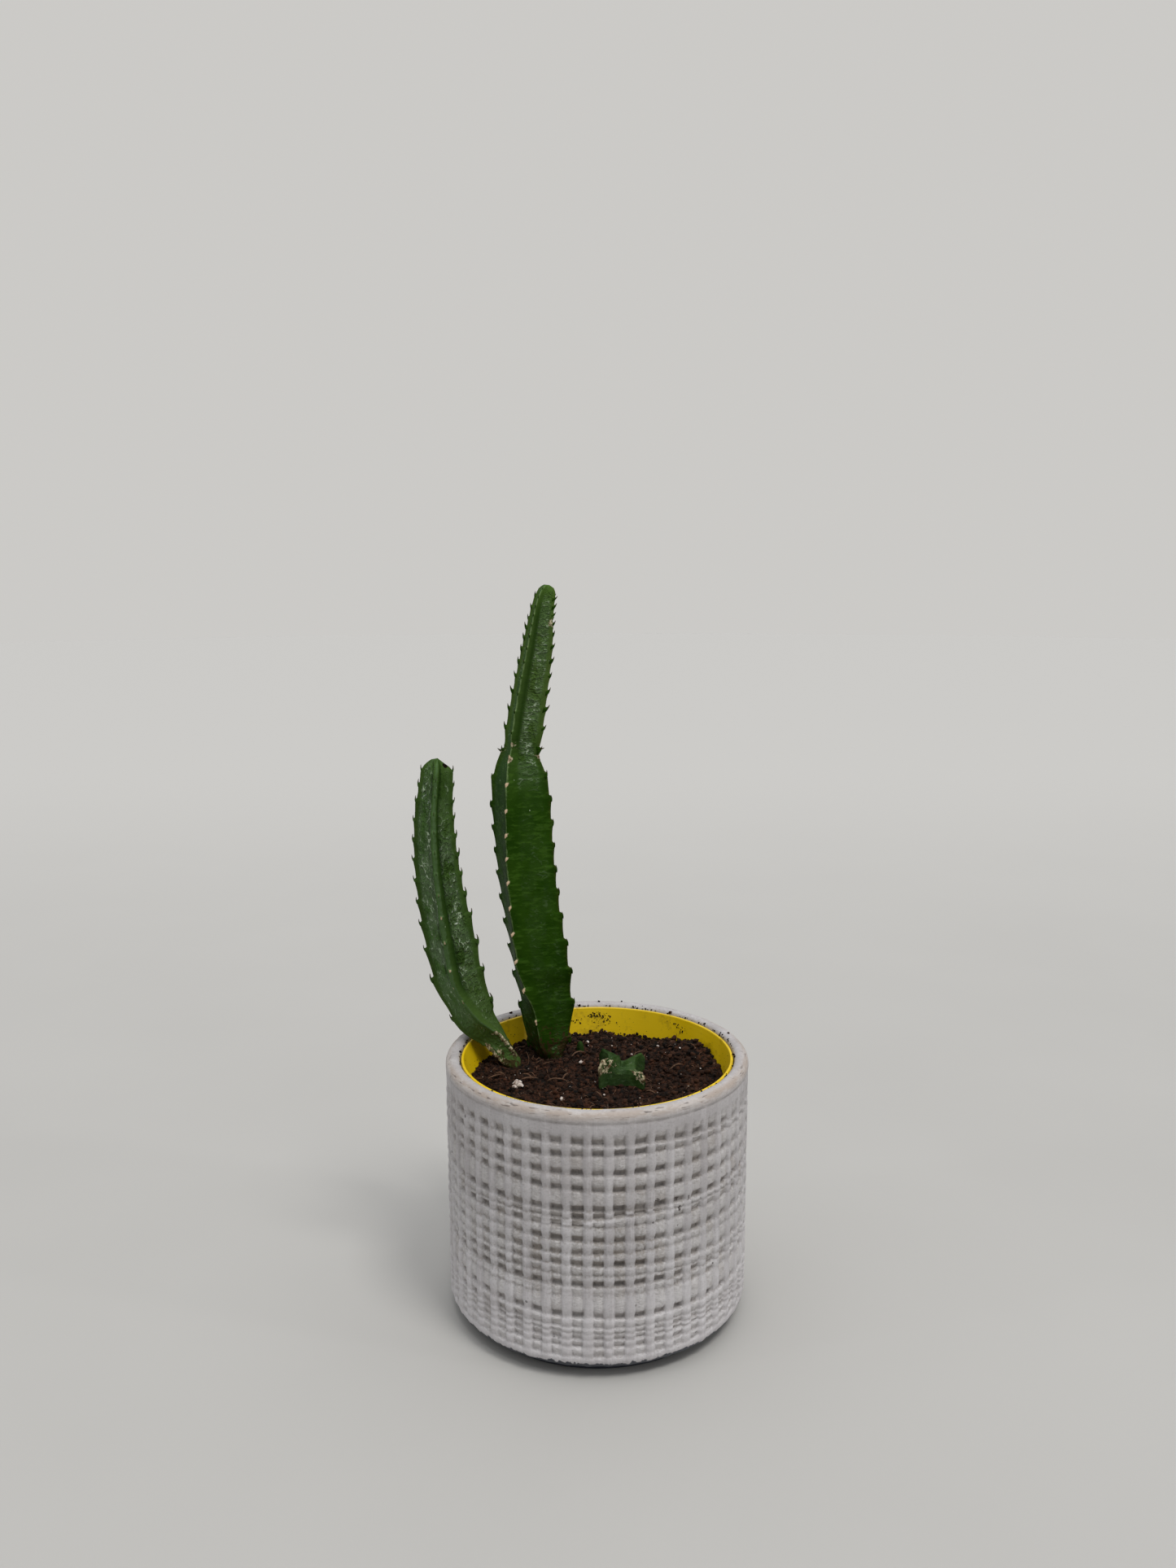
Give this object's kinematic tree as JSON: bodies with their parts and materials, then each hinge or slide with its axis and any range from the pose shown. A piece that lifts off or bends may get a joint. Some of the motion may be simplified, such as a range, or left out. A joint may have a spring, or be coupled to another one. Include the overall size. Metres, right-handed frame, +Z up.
{
  "type": "potted dragon fruit cactus",
  "caption": "Columnar ribbed succulent with toothed stems and a cutting, standing in soil in a thin nursery pot inside a round cover pot with a woven relief.",
  "frame": {"origin": "centre of the cover pot's flat foot, on the surface that it stands on", "axes": "+Z up along the pot's axis, +X to the picture's right, -Y towards the picture's viewer"},
  "size_m": [0.1549, 0.14, 0.3343],
  "materials": {
    "cover_pot_white": "matte painted ceramic, slightly glazed, with worn edges",
    "nursery_yellow": "semi-gloss moulded plastic",
    "soil_brown": "crumbly moist potting mix with bark and perlite",
    "stem_green": "waxy plant skin"
  },
  "bodies": {
    "root": {"outer_pot": "cover_pot_white", "nursery_pot": "nursery_yellow", "soil": "soil_brown", "stem_tall": "stem_green", "stem_short": "stem_green", "stub_cutting": "stem_green", "buried_tip": "stem_green"}
  },
  "joints": []
}
